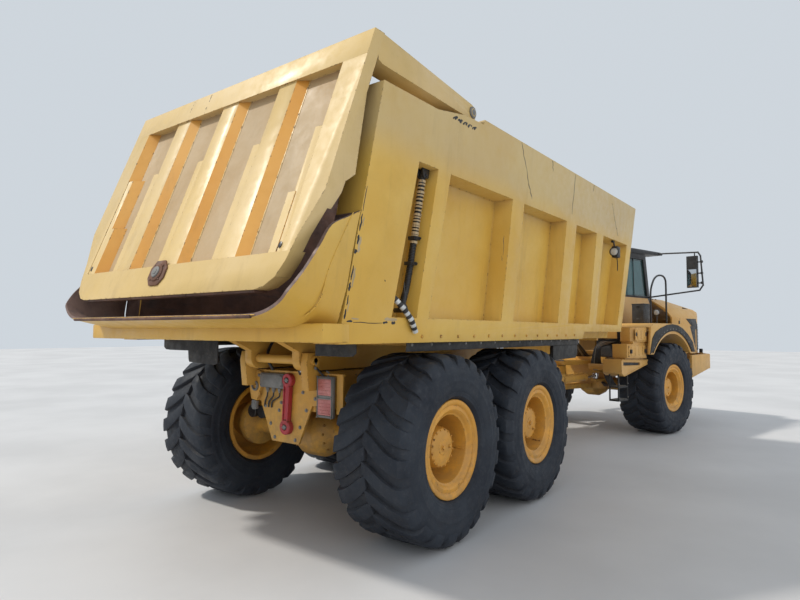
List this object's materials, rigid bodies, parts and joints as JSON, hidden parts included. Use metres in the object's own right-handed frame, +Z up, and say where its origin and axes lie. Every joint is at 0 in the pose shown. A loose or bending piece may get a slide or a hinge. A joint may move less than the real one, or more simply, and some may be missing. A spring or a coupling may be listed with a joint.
{
  "type": "articulated dump truck",
  "caption": "Articulated dump truck with a steering hinge amidships, a high-sided tipping body with an overhead tailgate, and the cab over the front axle.",
  "frame": {"origin": "middle of the bounding box in plan, on the ground", "axes": "+X forward along the rear unit and its load body, +Y to the left, +Z up; the front unit is turned to the right as in the picture"},
  "size_m": [12.7654, 3.9479, 4.22],
  "materials": {
    "yellow_paint": "worn satin",
    "dark_parts": "satin",
    "grey_metal": "rough",
    "red_paint": "worn",
    "tyre": "worn",
    "rubber": "dull",
    "glass": "clear",
    "rod_chrome": "polished",
    "trim": "matte"
  },
  "bodies": {
    "chassis": {"rear_frame": "yellow_paint", "frame_members": "yellow_paint", "hoist_mount": "yellow_paint", "neck": "yellow_paint", "tail_frame": "yellow_paint", "hitch": "yellow_paint", "bogie": "yellow_paint", "tail_lamps": "grey_metal", "tow_link": "red_paint"},
    "wheel_rear_left": {"tyre_rear_left": "tyre", "rim_rear_left": "yellow_paint"},
    "wheel_rear_right": {"tyre_rear_right": "tyre", "rim_rear_right": "yellow_paint"},
    "wheel_mid_left": {"tyre_mid_left": "tyre", "rim_mid_left": "yellow_paint"},
    "wheel_mid_right": {"tyre_mid_right": "tyre", "rim_mid_right": "yellow_paint"},
    "wheel_front_left": {"tyre_front_left": "tyre", "rim_front_left": "yellow_paint"},
    "wheel_front_right": {"tyre_front_right": "tyre", "rim_front_right": "yellow_paint"},
    "bed": {"bed_floor": "yellow_paint", "bed_side_left": "yellow_paint", "bed_side_right": "yellow_paint", "bed_front_wall": "yellow_paint", "gate_cables": "dark_parts", "work_lamps": "dark_parts", "bed_flaps": "rubber", "bed_frame": "yellow_paint", "bed_chute": "yellow_paint"},
    "gate": {"tailgate": "yellow_paint"},
    "hoist_barrel_left": {"hoist_barrel_left": "yellow_paint"},
    "hoist_rod_left": {"hoist_rod_left": "rod_chrome"},
    "steer_barrel_left": {"steer_barrel_left": "yellow_paint"},
    "steer_rod_left": {"steer_rod_left": "rod_chrome"},
    "hoist_barrel_right": {"hoist_barrel_right": "yellow_paint"},
    "hoist_rod_right": {"hoist_rod_right": "rod_chrome"},
    "steer_barrel_right": {"steer_barrel_right": "yellow_paint"},
    "steer_rod_right": {"steer_rod_right": "rod_chrome"},
    "hood": {"hood": "yellow_paint"},
    "door": {"cab_door": "yellow_paint", "door_glass": "glass"},
    "tractor": {"front_frame": "yellow_paint", "front_axle": "yellow_paint", "engine_block": "grey_metal", "cab_shell": "dark_parts", "cab_glass": "glass", "cab_interior": "trim", "fenders": "yellow_paint", "side_boxes": "yellow_paint", "air_box": "dark_parts", "access_steps": "dark_parts", "handrails": "dark_parts", "mirrors": "dark_parts", "bumper": "yellow_paint", "grille": "dark_parts", "headlamps": "grey_metal"}
  },
  "joints": [
    {"name": "steering", "type": "hinge", "parent": "chassis", "child": "tractor", "pos_m": [2.0873, 0.2437, 1.05], "axis": [0, 0, 1], "range_deg": [-34, 56]},
    {"name": "wheel_rear_left_spin", "type": "hinge", "parent": "chassis", "child": "wheel_rear_left", "pos_m": [-4.4127, 1.5562, 0.85], "axis": [0, 1, 0], "continuous": true},
    {"name": "wheel_rear_right_spin", "type": "hinge", "parent": "chassis", "child": "wheel_rear_right", "pos_m": [-4.4127, -1.0688, 0.85], "axis": [0, 1, 0], "continuous": true},
    {"name": "wheel_mid_left_spin", "type": "hinge", "parent": "chassis", "child": "wheel_mid_left", "pos_m": [-2.5927, 1.5562, 0.85], "axis": [0, 1, 0], "continuous": true},
    {"name": "wheel_mid_right_spin", "type": "hinge", "parent": "chassis", "child": "wheel_mid_right", "pos_m": [-2.5927, -1.0688, 0.85], "axis": [0, 1, 0], "continuous": true},
    {"name": "wheel_front_left_spin", "type": "hinge", "parent": "tractor", "child": "wheel_front_left", "pos_m": [3.59226, 1.28823, 0.85], "axis": [0.1908, 0.9816, 0], "continuous": true},
    {"name": "wheel_front_right_spin", "type": "hinge", "parent": "tractor", "child": "wheel_front_right", "pos_m": [3.09138, -1.28854, 0.85], "axis": [0.1908, 0.9816, 0], "continuous": true},
    {"name": "tipping", "type": "hinge", "parent": "chassis", "child": "bed", "pos_m": [-5.0127, 0.2437, 1.62], "axis": [0, -1, 0], "range_deg": [0, 70]},
    {"name": "tailgate_swing", "type": "hinge", "parent": "bed", "child": "gate", "pos_m": [-4.0827, 0.2437, 4], "axis": [0, 1, 0], "range_deg": [0, 55]},
    {"name": "hoist_left_swing", "type": "hinge", "parent": "chassis", "child": "hoist_barrel_left", "pos_m": [-3.8127, 0.9437, 0.72], "axis": [0, -1, 0], "range_deg": [-1, 67.43]},
    {"name": "hoist_left_stroke", "type": "slide", "parent": "hoist_barrel_left", "child": "hoist_rod_left", "axis": [0.8953, 0, 0.4455], "range_m": [-0.01, 1.7204]},
    {"name": "steer_left_swing", "type": "hinge", "parent": "chassis", "child": "steer_barrel_left", "pos_m": [0.9373, 0.7237, 1.05], "axis": [0, 0, 1], "range_deg": [-10.63, 16.86]},
    {"name": "steer_left_stroke", "type": "slide", "parent": "steer_barrel_left", "child": "steer_rod_left", "axis": [0.9982, -0.0601, 0], "range_m": [-0.4919, 0.3026]},
    {"name": "hoist_right_swing", "type": "hinge", "parent": "chassis", "child": "hoist_barrel_right", "pos_m": [-3.8127, -0.4563, 0.72], "axis": [0, -1, 0], "range_deg": [-1, 67.43]},
    {"name": "hoist_right_stroke", "type": "slide", "parent": "hoist_barrel_right", "child": "hoist_rod_right", "axis": [0.8953, 0, 0.4455], "range_m": [-0.01, 1.7204]},
    {"name": "steer_right_swing", "type": "hinge", "parent": "chassis", "child": "steer_barrel_right", "pos_m": [0.9373, -0.2363, 1.05], "axis": [0, 0, 1], "range_deg": [-11.22, 17.83]},
    {"name": "steer_right_stroke", "type": "slide", "parent": "steer_barrel_right", "child": "steer_rod_right", "axis": [0.9984, -0.0558, 0], "range_m": [-0.2751, 0.4466]},
    {"name": "hood_lift", "type": "hinge", "parent": "tractor", "child": "hood", "pos_m": [6.07271, -0.53099, 1.43], "axis": [0.1908, 0.9816, 0], "range_deg": [0, 60]},
    {"name": "door_swing", "type": "hinge", "parent": "tractor", "child": "door", "pos_m": [3.42076, 0.81476, 2.65], "axis": [0, 0, 1], "range_deg": [0, 80]}
  ],
  "couplings": [
    {"joint": "hoist_left_swing", "follows": "tipping", "ratio": 0.949},
    {"joint": "hoist_left_stroke", "follows": "tipping", "m_per_rad": 1.4},
    {"joint": "steer_left_swing", "follows": "steering", "ratio": 0.28323},
    {"joint": "steer_left_stroke", "follows": "steering", "m_per_rad": -0.49304},
    {"joint": "hoist_right_swing", "follows": "tipping", "ratio": 0.949},
    {"joint": "hoist_right_stroke", "follows": "tipping", "m_per_rad": 1.4},
    {"joint": "steer_right_swing", "follows": "steering", "ratio": 0.30047},
    {"joint": "steer_right_stroke", "follows": "steering", "m_per_rad": 0.44671}
  ]
}
